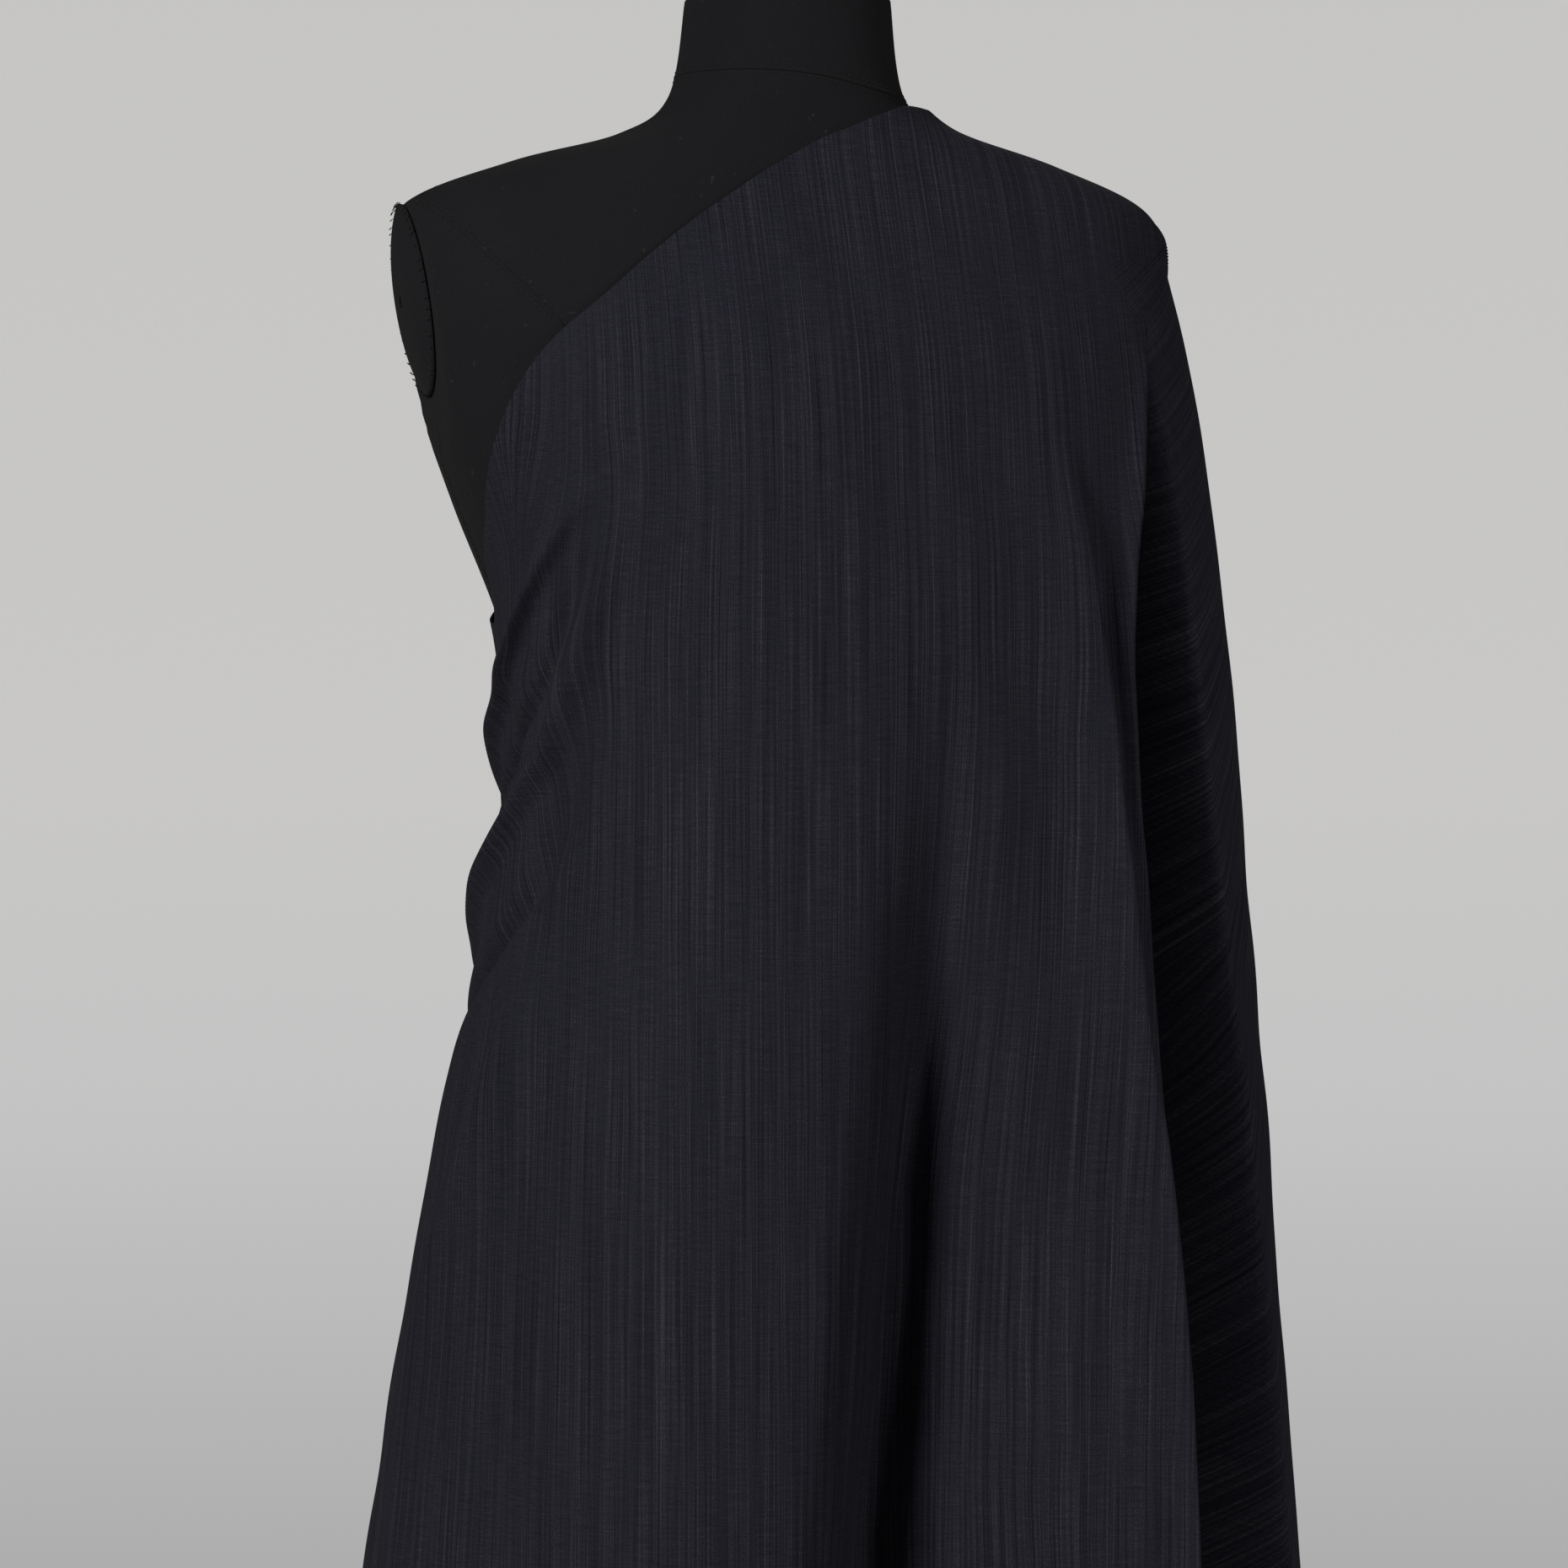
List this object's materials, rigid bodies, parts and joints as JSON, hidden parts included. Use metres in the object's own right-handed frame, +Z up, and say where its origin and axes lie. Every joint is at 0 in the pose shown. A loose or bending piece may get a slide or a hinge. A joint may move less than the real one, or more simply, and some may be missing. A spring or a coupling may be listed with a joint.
{
  "type": "draped dress form",
  "caption": "Jersey-covered dress form on a round weighted stand, turning and sliding on its pole, with a length of dark suiting cloth draped over one shoulder",
  "frame": {"origin": "on the floor, where the axis of the pole meets it, at the middle of the base's flat underside", "axes": "+Z up along the pole; the form faces -Y; +X is the form's left, the shoulder that carries the cloth"},
  "size_m": [0.567, 0.42, 1.5289],
  "materials": {
    "suiting": "matte",
    "jersey": "matte",
    "shell_board": "matte",
    "plywood": "matte",
    "dark_wood": "satin",
    "black_steel": "satin",
    "base_iron": "satin",
    "bright_steel": "polished",
    "screw_steel": "satin",
    "bronze": "satin",
    "black_plastic": "matte",
    "rubber": "matte"
  },
  "bodies": {
    "stand": {"base_pad": "rubber", "base_plate": "base_iron", "base_boss": "black_steel", "boss_screw_1": "screw_steel", "boss_screw_2": "screw_steel", "boss_screw_3": "screw_steel", "boss_screw_4": "screw_steel", "boss_set_screw": "screw_steel", "column_tube": "black_steel", "column_bush": "black_plastic", "clamp_collar": "black_steel"},
    "mast": {"inner_pole": "bright_steel", "stop_collar": "black_steel", "stop_set_screw": "screw_steel", "thrust_washer": "bronze"},
    "form": {"torso_shell_front": "shell_board", "torso_shell_back": "shell_board", "jersey_cover": "jersey", "arm_plate_left": "black_plastic", "arm_plate_right": "black_plastic", "arm_screw_left": "screw_steel", "arm_screw_right": "screw_steel", "neck_block": "plywood", "neck_dowel": "plywood", "neck_cap": "dark_wood", "neck_finial": "dark_wood", "bottom_board": "plywood", "socket_flange": "black_steel", "flange_screw_1": "screw_steel", "flange_screw_2": "screw_steel", "flange_screw_3": "screw_steel", "flange_screw_4": "screw_steel", "socket_tube": "bright_steel", "socket_cap": "black_plastic", "cloth_length": "suiting"},
    "clamp": {"clamp_screw": "screw_steel", "clamp_knob": "black_plastic"}
  },
  "joints": [
    {"name": "height_slide", "type": "slide", "parent": "stand", "child": "mast", "axis": [0, 0, 1], "range_m": [-0.1, 0.2]},
    {"name": "form_turn", "type": "hinge", "parent": "mast", "child": "form", "pos_m": [0, 0, 0.788], "axis": [0, 0, 1], "continuous": true},
    {"name": "clamp_turn", "type": "hinge", "parent": "stand", "child": "clamp", "pos_m": [0.03, 0, 0.582], "axis": [1, 0, 0], "range_deg": [0, 360]}
  ]
}
